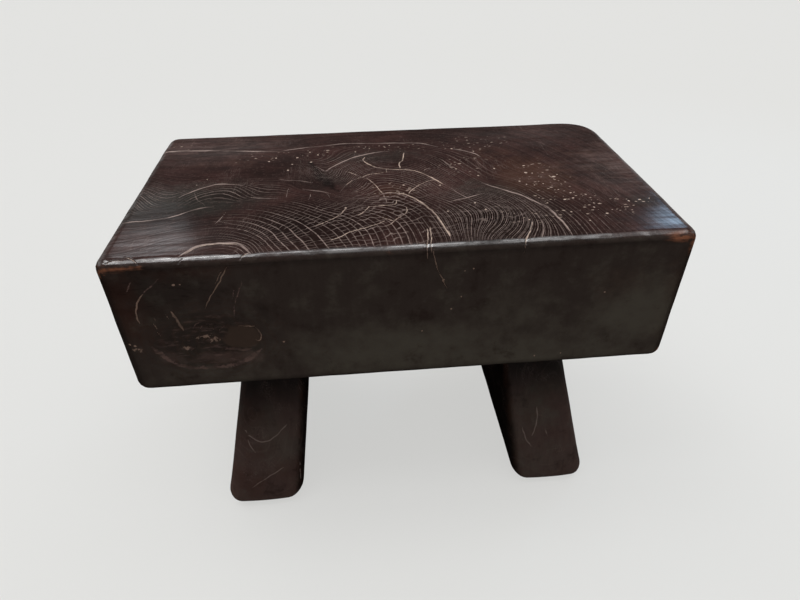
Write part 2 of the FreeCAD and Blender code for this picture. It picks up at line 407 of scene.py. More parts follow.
def cut_across(bm, axis, places):
    """Cuts the whole mesh by planes square to an axis."""
    normal = Vector([float(i == axis) for i in range(3)])
    for place in places:
        geometry = bm.verts[:] + bm.edges[:] + bm.faces[:]
        bmesh.ops.bisect_plane(bm, geom=geometry, dist=1e-7, plane_co=normal * place, plane_no=normal)


def even_places(low, high, step):
    """Places at about the given step between two ends, without the ends."""
    count = max(2, round((high - low) / step))
    return [low + (high - low) * i / count for i in range(1, count)]


def round_edges(bm, edges, radius, segments):
    bmesh.ops.bevel(
        bm, geom=edges, offset=radius, offset_type="OFFSET", segments=segments, profile=0.5,
        affect="EDGES", material=-1, clamp_overlap=False,
    )


def block(low, high):
    bm = bmesh.new()
    place = Matrix.Translation((low + high) / 2) @ Matrix.Diagonal((*(high - low), 1.0))
    bmesh.ops.create_cube(bm, size=1.0, matrix=place)
    return bm


def edge_middle(edge):
    return (edge.verts[0].co + edge.verts[1].co) / 2


def is_upright(edge):
    run = edge.verts[0].co - edge.verts[1].co
    return abs(run.z) > 0.5 * run.length


def face_places(bm):
    return np.array([f.calc_center_median() for f in bm.faces], float)


def face_reaches(bm):
    """Half of each face's widest extent, about."""
    return np.array([math.sqrt(f.calc_area()) for f in bm.faces], float)


def rounded_line(points, pieces=6):
    """A smooth line through the points, with short straight pieces between them."""
    points = np.array(points, float)
    if len(points) < 3:
        return points
    padded = np.vstack([2 * points[0] - points[1], points, 2 * points[-1] - points[-2]])
    made = [points[0]]
    for i in range(len(points) - 1):
        a, b, c, d = padded[i : i + 4]
        for t in np.linspace(0, 1, pieces + 1)[1:]:
            bend = (2 * a - 5 * b + 4 * c - d) * t**2 + (3 * b - a - 3 * c + d) * t**3
            made.append(0.5 * (2 * b + (c - a) * t + bend))
    return np.array(made)


def distance_to_line(places, line):
    """Each place's distance to the line, and how far it is along the line from the nearer end."""
    nearest = np.full(len(places), np.inf)
    from_end = np.zeros(len(places))
    lengths = np.linalg.norm(np.diff(line, axis=0), axis=1)
    total = lengths.sum()
    done = 0.0
    for start, run, length in zip(line, np.diff(line, axis=0), lengths):
        share = np.clip(((places - start) @ run) / max(length**2, 1e-12), 0, 1)
        apart = np.linalg.norm(places - start - share[:, None] * run, axis=1)
        along = done + share * length
        nearer = apart < nearest
        nearest[nearer] = apart[nearer]
        from_end[nearer] = np.minimum(along, total - along)[nearer]
        done += length
    return nearest, from_end


def line_marks(places, lines, taper=9.0):
    """1 on each line, 0.5 at its edge and 0 at twice that distance, thinning out at the ends."""
    strength = np.zeros(len(places))
    for width, points in lines:
        line = rounded_line(points)
        near = np.all((places > line.min(0) - 2 * width) & (places < line.max(0) + 2 * width), axis=1)
        if near.any():
            apart, from_end = distance_to_line(places[near], line)
            thinning = np.clip(0.35 + from_end / taper, 0, 1)
            value = np.clip(1 - apart / (width * thinning), 0, 1)
            strength[near] = np.maximum(strength[near], value)
    return strength


def round_marks(places, spots):
    """1 in the middle of each spot, 0.5 at its edge and 0 at twice that distance."""
    strength = np.zeros(len(places))
    for x, y, width in spots:
        apart = np.hypot(places[:, 0] - x, places[:, 1] - y)
        strength = np.maximum(strength, np.clip(1 - apart / width, 0, 1))
    return strength


def soft_patches(places, patches):
    strength = np.zeros(len(places))
    for x, y, reach_x, reach_y, amount in patches:
        apart = ((places[:, 0] - x) / reach_x) ** 2 + ((places[:, 1] - y) / reach_y) ** 2
        strength = np.maximum(strength, amount * np.exp(-apart))
    return strength


def unevenness(places, size, seed):
    """Smooth noise from 0 to 1 at each place, with hills of about the given size."""
    shift = Vector((seed, 2.7 * seed, -1.3 * seed))
    return np.array([0.5 + 0.5 * noise.noise(Vector(p).to_3d() / size + shift) for p in places])


def wavering(places, size, amount, seed):
    """The places, moved a little to and fro, so that drawn lines waver."""
    moved = places.copy()
    moved[:, 0] += amount * (2 * unevenness(places, size, seed) - 1)
    moved[:, 1] += amount * (2 * unevenness(places, size, seed + 5) - 1)
    return moved


def growth_ages(places):
    """The age of the wood at each place on the top: a thin plate through the growth lines' ages."""
    known = np.array([p for _, line in GROWTH_LINES for p in line], float)
    ages = np.array([age for age, line in GROWTH_LINES for _ in line], float)
    scale = 100.0
    smoothing = 0.02

    def bending(a, b):
        apart = np.linalg.norm(a[:, None] - b[None], axis=2) / scale
        return apart**2 * np.log(np.maximum(apart, 1e-9))

    def slope(a):
        return np.hstack([np.ones((len(a), 1)), a / scale])

    count = len(known)
    bent = bending(known, known) + smoothing * np.eye(count)
    system = np.block([[bent, slope(known)], [slope(known).T, np.zeros((3, 3))]])
    weights = np.linalg.solve(system, np.concatenate([ages, np.zeros(3)]))
    return bending(places, known) @ weights[:count] + slope(places) @ weights[count:]


def read_surface(bm):
    """Each vertex's place and normal, and from 0 to 1 how far it lies on a rim."""
    places = np.array([v.co for v in bm.verts], float)
    normals = np.array([v.normal for v in bm.verts], float)
    turned = np.sort(np.abs(normals), axis=1)
    return places, normals, np.clip(2 * turned[:, 1] * turned[:, 2], 0, 1)


def hand_planed(places, size, seed, finer_seed):
    """The depth that hand planing took off: broad hollows, with finer ones in them."""
    broad = unevenness(places, size, seed)
    return stool_sizes().waviness * (broad * 0.8 + unevenness(places, 0.02, finer_seed) * 0.2)


def press_in(bm, places, normals, depth):
    for vertex, place in zip(bm.verts, places - normals * depth[:, None]):
        vertex.co = place


def cut_into_triangles(bm):
    bmesh.ops.triangulate(bm, faces=bm.faces[:])
    bmesh.ops.recalc_face_normals(bm, faces=bm.faces[:])
    return bm


def new_mesh(bm, name, material):
    mesh = bpy.data.meshes.new(name)
    bm.to_mesh(mesh)
    bm.free()
    mesh.materials.append(material)
    return mesh


def new_object(name, data):
    made = bpy.data.objects.new(name, data)
    bpy.context.scene.collection.objects.link(made)
    return made


def finished_piece(bm, name, material, slot, *nodes, attributes=None):
    """Turns the shaped mesh into a piece that stands for its CAD nodes."""
    piece = new_object(name, new_mesh(bm, name, material))
    piece.data.shade_smooth()
    for label, values in (attributes or {}).items():
        made = piece.data.attributes.new(label, "FLOAT", "POINT")
        made.data.foreach_set("value", np.asarray(values, np.float32))
    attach(piece, "root")
    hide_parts(*nodes)


def smooth_step(value, low, high):
    share = np.clip((value - low) / (high - low), 0, 1)
    return share * share * (3 - 2 * share)


# The seat


def top_plan(places):
    """Places in millimetres from the top's front left corner."""
    return np.stack([(places[:, 0] - SEAT_LOW.x) / MM, (places[:, 1] - SEAT_LOW.y) / MM], axis=1)


def front_plan(places):
    """Places in millimetres from the lower left corner of the front face."""
    return np.stack([(places[:, 0] - SEAT_LOW.x) / MM, (places[:, 2] - SEAT_LOW.z) / MM], axis=1)


def seat_marks(places, rim):
    """The strength of each drawn mark at each place of the seat's surface."""
    on_top = places[:, 2] > SEAT_HIGH.z - rim
    on_front = (places[:, 1] < SEAT_LOW.y + rim * 0.4) & (places[:, 2] < SEAT_HIGH.z - rim * 0.3)
    marks = {name: np.zeros(len(places)) for name in ("check", "pale", "pore", "fold", "lip")}
    top = wavering(top_plan(places[on_top]), 9.0, 0.9, 3.1)
    marks["check"][on_top] = line_marks(top, TOP_CHECKS)
    marks["pale"][on_top] = line_marks(top, PALE_LINES, taper=25.0)
    marks["pore"][on_top] = round_marks(top, TOP_PORES)
    marks["fold"][on_top] = line_marks(top, FOLD, taper=60.0)
    front = wavering(front_plan(places[on_front]), 7.0, 0.9, 8.4)
    marks["check"][on_front] = np.maximum(marks["check"][on_front], line_marks(front, FRONT_CHECKS))
    marks["lip"][on_front] = line_marks(front, FRONT_LIPS, taper=14.0)
    marks["pore"][on_front] = np.maximum(marks["pore"][on_front], round_marks(front, FRONT_PORES))
    return marks


# The knot's middle on the front face, and half its width and height.
KNOT_MIDDLE = (94.0, 70.0)
KNOT_REACH = (58.0, 40.0)


def knot_distance(places):
    """0 in the middle of the knot and 1 at its oval outline, on the front face."""
    across, up = ((front_plan(places) - KNOT_MIDDLE) / KNOT_REACH).T
    return np.hypot(across, up)


def knot_hollow(places, knot):
    """How deep the knot lies, from 0 to about 1: swirling ridges, a ragged middle and a flat filling."""
    wobble = unevenness(places, 0.018, 12.0) - 0.5
    inside = smooth_step(1.02 + 0.12 * wobble - knot, 0.0, 0.1)
    ridges = 0.5 + 0.5 * np.sin(2 * math.pi * (knot * 3.6 + 3.0 * wobble))
    ragged = unevenness(places, 0.0045, 17.0)
    middle = np.exp(-((knot / 0.38) ** 2))
    filled = np.clip(soft_patches(front_plan(places), FRONT_PATCHES["filler"]), 0, 1)
    rough = 0.22 + 0.12 * ridges + 0.3 * ragged + middle * (0.2 + 0.6 * ragged)
    return inside * (rough * (1 - smooth_step(filled, 0.35, 0.75)) + 0.08)


def corner_wear_and_glint(places):
    """1 at each worn corner, fading with distance; there the rubbed tone also paints a glint."""
    from_corner = (places - np.array([SEAT_LOW.x, SEAT_LOW.y, SEAT_HIGH.z])) / MM
    strength = np.zeros(len(places))
    for *corner, reach in WORN_AND_GLINTING_CORNERS:
        apart = np.linalg.norm(from_corner - np.array(corner, float), axis=1)
        strength = np.maximum(strength, np.exp(-((apart / reach) ** 2)))
    return strength


def shape_seat(sizes):
    """The rounded block, with its mesh fine where a check or a pore is."""
    bm = block(SEAT_LOW, SEAT_HIGH)
    uprights = [e for e in bm.edges if is_upright(e)]
    rounder = [e for e in uprights if edge_middle(e).x > 0 and edge_middle(e).y > 0]
    round_edges(bm, rounder, sizes.round_corner_radius, 12)
    far = sizes.round_corner_radius * 1.5
    corners = [e for e in bm.edges if is_upright(e)]
    corner_x, corner_y = SEAT_HIGH.x - far, SEAT_HIGH.y - far
    others = [e for e in corners if not (edge_middle(e).x > corner_x and edge_middle(e).y > corner_y)]
    round_edges(bm, others, sizes.corner_radius, 6)
    middle = (SEAT_LOW.z + SEAT_HIGH.z) / 2
    at_rim = middle - SEAT_LOW.z - sizes.rim_radius / 10
    rim = [e for e in bm.edges if not is_upright(e) and abs(edge_middle(e).z - middle) > at_rim]
    round_edges(bm, rim, sizes.rim_radius, 5)
    for axis in range(3):
        cut_across(bm, axis, even_places(SEAT_LOW[axis], SEAT_HIGH[axis], sizes.seat_mesh_step))
    for _ in range(sizes.check_refinement):
        refine_at_marks(bm, sizes)
    bmesh.ops.remove_doubles(bm, verts=bm.verts[:], dist=LEAST_EDGE / 2)
    return cut_into_triangles(bm)


# How far from a mark the mesh is fine: in millimetres from its edge, and as a share of the face's reach.
LINE_MARGIN = 0.6
SPOT_MARGIN = 0.4
FACE_SHARE = 0.75
# How far out the knot's mesh is fine, as a share of its outline, and its largest faces in millimetres.
KNOT_MARGIN = 1.25
KNOT_FACE = 2.5


def near_marks(at, reach, lines, spots=()):
    """True where a mark comes near a face of the given reach."""
    near = np.zeros(len(at), bool)
    for width, points in lines:
        apart, _ = distance_to_line(at, rounded_line(points, 3))
        near |= apart < width + LINE_MARGIN + FACE_SHARE * reach
    for x, y, width in spots:
        apart = np.hypot(at[:, 0] - x, at[:, 1] - y)
        near |= apart < width + SPOT_MARGIN + FACE_SHARE * reach
    return near


def halve_faces(bm, marked):
    bm.faces.ensure_lookup_table()
    edges = {e for i in np.flatnonzero(marked) for e in bm.faces[i].edges}
    bmesh.ops.subdivide_edges(bm, edges=list(edges), cuts=1, use_grid_fill=True)


def refine_at_marks(bm, sizes):
    """Halves the mesh where a mark comes near a face."""
    places = face_places(bm)
    reach = face_reaches(bm) / MM
    marked = np.zeros(len(places), bool)
    rim = sizes.rim_radius
    on_top = places[:, 2] > SEAT_HIGH.z - rim
    on_front = (places[:, 1] < SEAT_LOW.y + rim * 0.6) & (places[:, 2] < SEAT_HIGH.z - rim * 0.2)
    for there, plan, lines, spots in (
        (on_top, top_plan, TOP_CHECKS + PALE_LINES, TOP_PORES),
        (on_front, front_plan, FRONT_CHECKS + FRONT_LIPS, FRONT_PORES),
    ):
        marked[there] |= near_marks(plan(places[there]), reach[there], lines, spots)
    knotty = (knot_distance(places) < KNOT_MARGIN) & (places[:, 1] < SEAT_LOW.y + rim / 10)
    halve_faces(bm, marked | knotty & (reach > KNOT_FACE))


def wear_seat(bm, sizes):
    """Presses the checks, pores, knot and hand planing into the block, and returns the attributes."""
    places, normals, rim = read_surface(bm)
    marks = seat_marks(places, sizes.rim_radius)
    knot = knot_distance(places)
    in_front = np.clip(-normals[:, 1], 0, 1) ** 2
    depth = hand_planed(places, 0.055, 1.0, 2.0)
    depth += sizes.rim_wear * rim * unevenness(places, 0.025, 4.0)
    depth += sizes.knot_depth * in_front * knot_hollow(places, knot)
    depth *= 1 - 0.8 * smooth_step(marks["lip"], 0.2, 0.9)
    depth += sizes.check_depth * smooth_step(marks["check"], 0.15, 0.8)
    depth += sizes.pore_depth * smooth_step(marks["pore"], 0.3, 0.7)
    press_in(bm, places, normals, depth)
    plan = top_plan(places)
    # Below the top the rings lean a little, and sway to and fro.
    drift = (places[:, 2] - SEAT_HIGH.z) / MM
    leaning = plan + np.stack([0.06 * drift, 4.0 * np.sin(drift / 45.0)], axis=1)
    attributes = {
        "growth": growth_ages(leaning), "upward": np.clip(normals[:, 2], 0, 1), "rim": rim,
        # The worn corners, where the rubbed tone also paints a copper glint.
        "knot": np.clip(knot, 0, 3), "worn": corner_wear_and_glint(places), "facing_front": in_front, **marks,
    }
    for name, patches in TOP_PATCHES.items():
        attributes[name] = soft_patches(plan, patches)
    for name, patches in FRONT_PATCHES.items():
        attributes[name] = soft_patches(front_plan(places), patches) * in_front
    return attributes


class STOOL_OT_seat_block(bpy.types.Operator):
    """Makes the rounded seat block with its growth rings, checks, pores and knot"""

    bl_idname = "stool.seat_block"
    bl_label = "Seat block"

    def execute(self, context):
        sizes = context.scene.stool_sizes
        bm = shape_seat(sizes)
        finished_piece(
            bm, "rounded_seat_block", end_grain_material(), "stained_end_grain", "seat_block",
            attributes=wear_seat(bm, sizes),
        )
        return {"FINISHED"}


# The legs

# Farther forward than this, a place is on a leg's front face.
LEG_FRONT = 0.09


def leg_middle(side, offset):
    return stool_sizes().pair_shift + side * offset


def shape_leg(side, sizes):
    """A slab that splays outwards and grows towards the floor, with its kerfed twin tenons."""
    bm = block(Vector((-0.5, -0.5, sizes.foot_level)), Vector((0.5, 0.5, SEAT_UNDERSIDE)))
    foot_x, head_x = leg_middle(side, sizes.foot_offset), leg_middle(side, sizes.head_offset)
    for vertex in bm.verts:
        at_head = vertex.co.z > SEAT_UNDERSIDE / 2
        width = sizes.head_width if at_head else sizes.foot_width
        depth = sizes.head_depth if at_head else sizes.foot_depth
        vertex.co.x = vertex.co.x * width + (head_x if at_head else foot_x)
        vertex.co.y = vertex.co.y * depth
    near = sizes.leg_edge_radius / 10
    rounded = [e for e in bm.edges if is_upright(e) or edge_middle(e).z < sizes.foot_level + near]
    round_edges(bm, rounded, sizes.leg_edge_radius, 7)
    step = sizes.leg_mesh_step
    tenon_edges_x = [head_x + s * sizes.tenon_thickness / 2 for s in (-1, 1)]
    tenon_edges_y = [c + s * sizes.tenon_width / 2 for c in tenon_places() for s in (-1, 1)]
    kerf_edges = [c + s * sizes.kerf_width / 2 for c in kerf_places() for s in (-1, 1)]
    box_x = [v.co.x for v in bm.verts]
    box_y = [v.co.y for v in bm.verts]
    cut_across(bm, 2, even_places(sizes.foot_level, SEAT_UNDERSIDE, step))
    cut_across(bm, 0, even_places(min(box_x), max(box_x), step) + tenon_edges_x)
    cut_across(bm, 1, even_places(min(box_y), max(box_y), step) + tenon_edges_y + kerf_edges)
    for _ in range(sizes.check_refinement):
        places = face_places(bm)
        in_front = places[:, 1] < -LEG_FRONT
        marked = np.zeros(len(places), bool)
        marked[in_front] = near_marks(
            places[in_front][:, [0, 2]] / MM, face_reaches(bm)[in_front] / MM, LEG_LINES
        )
        halve_faces(bm, marked)
    bow_foot(bm, foot_x, sizes)
    raise_tenons(bm, head_x, sizes)
    bmesh.ops.remove_doubles(bm, verts=bm.verts[:], dist=LEAST_EDGE)
    return cut_into_triangles(bm)


def bow_foot(bm, foot_x, sizes):
    """Curves the foot's underside up towards its sides and its ends."""
    for vertex in bm.verts:
        low = max(0.0, 1 - (vertex.co.z - sizes.foot_level) / (2.5 * sizes.leg_edge_radius))
        sideways = ((vertex.co.x - foot_x) / (sizes.foot_width / 2)) ** 2
        endways = (vertex.co.y / (sizes.foot_depth / 2)) ** 8
        vertex.co.z += sizes.foot_bow * low * (sideways + 0.3 * endways)


def tenon_places():
    return [sign * stool_sizes().tenon_pitch / 2 for sign in ENDS.values()]


def kerf_places():
    return [c + sign * stool_sizes().kerf_pitch / 2 for c in tenon_places() for sign in ENDS.values()]


def raise_faces(bm, faces, height):
    """Extrudes faces upwards, and returns the raised faces."""
    made = bmesh.ops.extrude_face_region(bm, geom=faces)["geom"]
    corners = [g for g in made if isinstance(g, bmesh.types.BMVert)]
    bmesh.ops.translate(bm, verts=corners, vec=(0, 0, height))
    return [g for g in made if isinstance(g, bmesh.types.BMFace)]


def raise_tenons(bm, head_x, sizes):
    """Raises each tenon to the kerfs' root, and then its strips between the kerfs."""
    near = sizes.kerf_width / 10
    for tenon_y in tenon_places():
        inside = [
            f for f in bm.faces
            if f.calc_center_median().z > SEAT_UNDERSIDE - near
            and abs(f.calc_center_median().x - head_x) < sizes.tenon_thickness / 2
            and abs(f.calc_center_median().y - tenon_y) < sizes.tenon_width / 2
        ]
        whole = raise_faces(bm, inside, sizes.tenon_length - sizes.kerf_depth)
        strips = [
            f for f in whole
            if all(abs(f.calc_center_median().y - k) > sizes.kerf_width / 2 for k in kerf_places())
        ]
        raised = raise_faces(bm, strips, sizes.kerf_depth)
        share = sizes.tenon_spread / (sizes.tenon_width / 2)
        for vertex in {v for f in raised for v in f.verts}:
            vertex.co.y += (vertex.co.y - tenon_y) * share


def wear_leg(bm, side, sizes):
    """Presses hand planing and worn edges into the leg, and returns the attributes."""
    places, normals, rim = read_surface(bm)
    below = smooth_step(SEAT_UNDERSIDE - places[:, 2], 0.0005, 0.006)
    rim *= below
    depth = hand_planed(places, 0.05, 21.0 + side, 31.0)
    depth += sizes.rim_wear * rim * unevenness(places, 0.02, 41.0 + side)
    press_in(bm, places, normals, depth * below)
    in_front = places[:, 1] < -LEG_FRONT
    pale = np.zeros(len(places))
    pale[in_front] = line_marks(wavering(places[in_front][:, [0, 2]] / MM, 8.0, 1.0, 51.0), LEG_LINES)
    return {"rim": rim, "inner": smooth_step(-side * normals[:, 0], 0.3, 0.9), "pale": pale}


class STOOL_OT_legs(bpy.types.Operator):
    """Makes the two splayed slab legs with their tenons"""

    bl_idname = "stool.legs"
    bl_label = "Slab legs"

    def execute(self, context):
        sizes = context.scene.stool_sizes
        material = leg_material()
        for name, side in SIDES.items():
            bm = shape_leg(side, sizes)
            finished_piece(
                bm, f"{name}_slab_leg", material, "stained_wood", f"{name}_leg",
                attributes=wear_leg(bm, side, sizes),
            )
        return {"FINISHED"}


class STOOL_OT_wedges(bpy.types.Operator):
    """Gives the tenon wedges their pale wood"""

    bl_idname = "stool.wedges"
    bl_label = "Tenon wedges"

    def execute(self, context):
        material = wedge_material()
        for side in SIDES:
            for end in ENDS:
                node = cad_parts[f"{side}_{end}_tenon_wedges"]
                node.data.materials.clear()
                node.data.materials.append(material)
        return {"FINISHED"}


class STOOL_OT_pads(bpy.types.Operator):
    """Makes the four felt pads under the feet"""

    bl_idname = "stool.pads"
    bl_label = "Felt pads"

    def execute(self, context):
        material = felt_material()
        for side in SIDES:
            for end in ENDS:
                node = f"{side}_{end}_pad"
                bm = shape_pad(*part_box(node))
                finished_piece(bm, f"{side}_{end}_felt_pad", material, "felt", node)
        return {"FINISHED"}


def shape_pad(low, high):
    """A felt disc with soft edges and a slightly matted face."""
    middle = (low + high) / 2
    radius = (high.x - low.x) / 2
    bm = bmesh.new()
    bmesh.ops.create_cone(
        bm, cap_ends=True, segments=64, radius1=radius, radius2=radius, depth=high.z - low.z,
        matrix=Matrix.Translation(middle),
    )
    rim = [e for e in bm.edges if not is_upright(e)]
    round_edges(bm, rim, (high.z - low.z) * 0.22, 3)
    caps = [f for f in bm.faces if len(f.verts) > 4]
    for inset in (0.15, 0.3, 0.4):
        bmesh.ops.inset_region(bm, faces=caps, thickness=radius * inset * 0.5)
    return cut_into_triangles(bm)


# Nodes


def add_node(tree, kind, inputs=(), **settings):
    """Adds a node, and sets or links its inputs."""
    made = tree.nodes.new(kind)
    for name, value in settings.items():
        setattr(made, name, value)
    for key, value in dict(inputs).items():
        if isinstance(value, bpy.types.NodeSocket):
            tree.links.new(value, made.inputs[key])
        else:
            made.inputs[key].default_value = value
    return made


# A function below that takes no tree adds its node to the tree of the first socket that it is given.


def calculate(operation, *values):
    inputs = dict(enumerate(values))
    return add_node(values[0].id_data, "ShaderNodeMath", inputs, operation=operation).outputs[0]


def times(first, *others):
    for other in others:
        first = calculate("MULTIPLY", first, other)
    return first


def scaled(value, factor, added):
    """The value times the factor, with something added."""
    return calculate("MULTIPLY_ADD", value, factor, added)


def between(value, low, high, to_low=0.0, to_high=1.0):
    """Takes the value smoothly from one range to another."""
    inputs = {"Value": value, "From Min": low, "From Max": high, "To Min": to_low, "To Max": to_high}
    settings = {"interpolation_type": "SMOOTHSTEP"}
    return add_node(value.id_data, "ShaderNodeMapRange", inputs, **settings).outputs["Result"]


def whole_lines(value, width):
    """A soft line wherever the value is a whole number."""
    return between(calculate("PINGPONG", value, 0.5), width, 0.0)


def colour(tone, share=1.0):
    """A tone with full alpha, darker or lighter by the share."""
    return (*(share * part for part in tone), 1.0)


def blended(share, first, second):
    """Lays the second colour over the first."""
    inputs = {0: share, 6: first, 7: second}
    return add_node(share.id_data, "ShaderNodeMix", inputs, data_type="RGBA").outputs[2]


def lay(base, share, tone):
    """Lays a fixed colour over the base."""
    return blended(share, base, colour(tone))


def layered(base, *layers):
    """Lays fixed colours over the base, each as far as its value has come from one level to another.

    Whatever follows in a layer holds it back: a share, or a value from 0 to 1.
    """
    for tone, value, low, high, most, *others in layers:
        share = times(between(value, low, high, 0.0, most), *others)
        base = lay(base, share, tone)
    return base


def attribute(tree, name):
    settings = {"attribute_name": name, "attribute_type": "GEOMETRY"}
    return add_node(tree, "ShaderNodeAttribute", **settings).outputs["Fac"]


def frayed(name, ragged, amount):
    """An attribute with its edge frayed by noise."""
    return scaled(ragged, amount, attribute(ragged.id_data, name))


def object_places(tree):
    return add_node(tree, "ShaderNodeTexCoord").outputs["Object"]


def place_parts(place):
    return add_node(place.id_data, "ShaderNodeSeparateXYZ", {0: place}).outputs


def stretched(place, scale, turn=(0.0, 0.0, 0.0)):
    inputs = {"Vector": place, "Scale": scale, "Rotation": turn}
    return add_node(place.id_data, "ShaderNodeMapping", inputs, vector_type="POINT").outputs["Vector"]


def cloudy(place, scale, detail=3.0, roughness=0.55):
    """Noise from 0 to 1."""
    inputs = {"Vector": place, "Scale": scale, "Detail": detail, "Roughness": roughness}
    return add_node(place.id_data, "ShaderNodeTexNoise", inputs).outputs["Fac"]


def uneven(*settings):
    """Noise about zero."""
    return calculate("SUBTRACT", cloudy(*settings), 0.5)


def new_group(name, inputs, outputs):
    """An empty shader node group, with its input sockets and output sockets."""
    tree = bpy.data.node_groups.new(name, "ShaderNodeTree")
    for label, default in inputs.items():
        kind = "NodeSocketVector" if default is None else "NodeSocketFloat"
        socket = tree.interface.new_socket(label, in_out="INPUT", socket_type=kind)
        if default is not None:
            socket.default_value = default
    for label in outputs:
        tree.interface.new_socket(label, in_out="OUTPUT", socket_type="NodeSocketFloat")
    given = tree.nodes.new("NodeGroupInput").outputs
    return tree, given, tree.nodes.new("NodeGroupOutput").inputs


def use_group(name, inputs):
    group = bpy.data.node_groups[name]
    return add_node(inputs["Place"].id_data, "ShaderNodeGroup", inputs, node_tree=group).outputs


def make_ring_group():
    """Growth rings: thin lines at each age, and broad soft bands."""
    inputs = {"Place": None, "Age": 0.0, "Wander": 0.3, "Width": 0.2, "Broken": 0.5}
    tree, given, result = new_group("growth_rings", inputs, ("Line", "Band", "Streak"))
    age = scaled(uneven(given["Place"], 45.0, 2.0), given["Wander"], given["Age"])
    ring = {"W": calculate("ROUND", age)}
    strength = add_node(tree, "ShaderNodeTexWhiteNoise", ring, noise_dimensions="1D").outputs["Value"]
    gaps = between(cloudy(given["Place"], 160.0, 2.0), 0.32, 0.55)
    kept = scaled(calculate("SUBTRACT", gaps, 1.0), given["Broken"], 1.0)
    line = whole_lines(age, given["Width"])
    tree.links.new(times(line, scaled(strength, 0.75, 0.25), kept), result["Line"])
    for label, scale, detail, roughness in (("Band", 0.45, 3.0, 0.6), ("Streak", 2.4, 4.0, 0.65)):
        inputs = {"W": age, "Scale": scale, "Detail": detail, "Roughness": roughness}
        soft = add_node(tree, "ShaderNodeTexNoise", inputs, noise_dimensions="1D").outputs["Fac"]
        tree.links.new(soft, result[label])


def make_ray_group():
    """Rays: thin broken lines that run out from the growth centre."""
    inputs = {"Place": None, "Middle X": 0.0, "Middle Y": 0.0, "Count": 60.0, "Width": 0.12}
    tree, given, result = new_group("wood_rays", inputs, ("Line",))
    parts = place_parts(given["Place"])
    run = calculate("SUBTRACT", parts["X"], given["Middle X"])
    rise = calculate("SUBTRACT", parts["Y"], given["Middle Y"])
    angle = calculate("ARCTAN2", rise, run)
    turned = scaled(uneven(given["Place"], 28.0, 3.0, 0.6), 0.16, angle)
    line = whole_lines(times(turned, given["Count"]), given["Width"])
    gaps = between(cloudy(given["Place"], 60.0, 2.0), 0.4, 0.52)
    tree.links.new(times(line, gaps), result["Line"])


def make_pore_group():
    """Pores: small scattered specks of uneven size."""
    inputs = {"Place": None, "Scale": 160.0, "Size": 0.12, "Share": 0.3}
    tree, given, result = new_group("filled_pores", inputs, ("Speck",))
    flattened = stretched(given["Place"], (0.45, 1.0, 1.0))
    cells = add_node(tree, "ShaderNodeTexVoronoi", {"Vector": flattened, "Scale": given["Scale"]}).outputs
    chance = add_node(tree, "ShaderNodeSeparateColor", {0: cells["Color"]}).outputs
    present = calculate("LESS_THAN", chance["Red"], given["Share"])
    size = times(scaled(chance["Green"], 0.9, 0.35), given["Size"])
    speck = times(between(cells["Distance"], size, 0.0), present)
    tree.links.new(between(speck, 0.0, 0.6), result["Speck"])


def make_scratch_group():
    """Scratches: long thin lines in two slanting directions, in short stretches."""
    tree, given, result = new_group("fine_scratches", {"Place": None, "Scale": 1.0}, ("Scratch",))
    inputs = {0: given["Place"], "Scale": given["Scale"]}
    place = add_node(tree, "ShaderNodeVectorMath", inputs, operation="SCALE").outputs[0]
    found = []
    for turn in ((0.3, 0.2, 0.5), (0.1, 0.6, -0.9)):
        lines = uneven(stretched(place, (420.0, 9.0, 420.0), turn), 1.0, 1.0)
        line = between(calculate("ABSOLUTE", lines), 0.012, 0.0)
        found.append(times(line, between(cloudy(place, 22.0, 1.0), 0.55, 0.7)))
    tree.links.new(calculate("MAXIMUM", *found), result["Scratch"])


def make_wear_group():
    """Edge rubbing: where a rim is rubbed, in ragged patches, which on the seat's corners also carry a
    painted copper glint.
    """
    tree, given, result = new_group("edge_wear", {"Place": None, "Rim": 0.0, "Worn": 0.0}, ("Wear",))
    ragged = between(cloudy(given["Place"], 1.0, 5.0, 0.7), 0.36, 0.62, 0.1, 1.0)
    rubbed = times(calculate("ADD", given["Rim"], 0.05), given["Worn"], ragged)
    tree.links.new(between(rubbed, 0.12, 0.95), result["Wear"])


def make_figure_group():
    """Side grain: long streaks along the trunk, and growth arches where a face cuts across the rings."""
    tree, given, result = new_group("side_grain", {"Place": None, "Middle X": 0.0}, ("Streak", "Arch"))
    streak = cloudy(stretched(given["Place"], (150.0, 150.0, 7.0)), 1.0, 4.0, 0.6)
    tree.links.new(streak, result["Streak"])
    parts = place_parts(given["Place"])
    across = calculate("SUBTRACT", calculate("ABSOLUTE", parts["X"]), given["Middle X"])
    lean = scaled(parts["Z"], 0.42, times(parts["Y"], 0.6))
    rise = calculate("ADD", lean, 0.02)
    squares = [calculate("POWER", part, 2.0) for part in (across, rise)]
    radius = calculate("SQRT", calculate("ADD", *squares))
    wander = times(uneven(given["Place"], 14.0, 2.0), 0.03)
    rings = times(calculate("ADD", radius, wander), 120.0)
    tree.links.new(whole_lines(rings, 0.16), result["Arch"])


GROUP_MAKERS = (
    make_ring_group, make_ray_group, make_pore_group,
    make_scratch_group, make_wear_group, make_figure_group,
)


# Materials

# Where the rays run out from, near the front left of the growth rings.
RAY_MIDDLE_X = -0.201
RAY_MIDDLE_Y = -0.184
# Fine rings for each growth line
FINE_RINGS = 2.3


def new_material(name, specular, coat_roughness=0.2):
    """A material with a Principled BSDF, and its tree and shader."""
    material = bpy.data.materials.new(name)
    material.use_nodes = True
    tree = material.node_tree
    shader = tree.nodes["Principled BSDF"]
    shader.inputs["Specular IOR Level"].default_value = specular
    shader.inputs["Coat Roughness"].default_value = coat_roughness
    return material, tree, shader


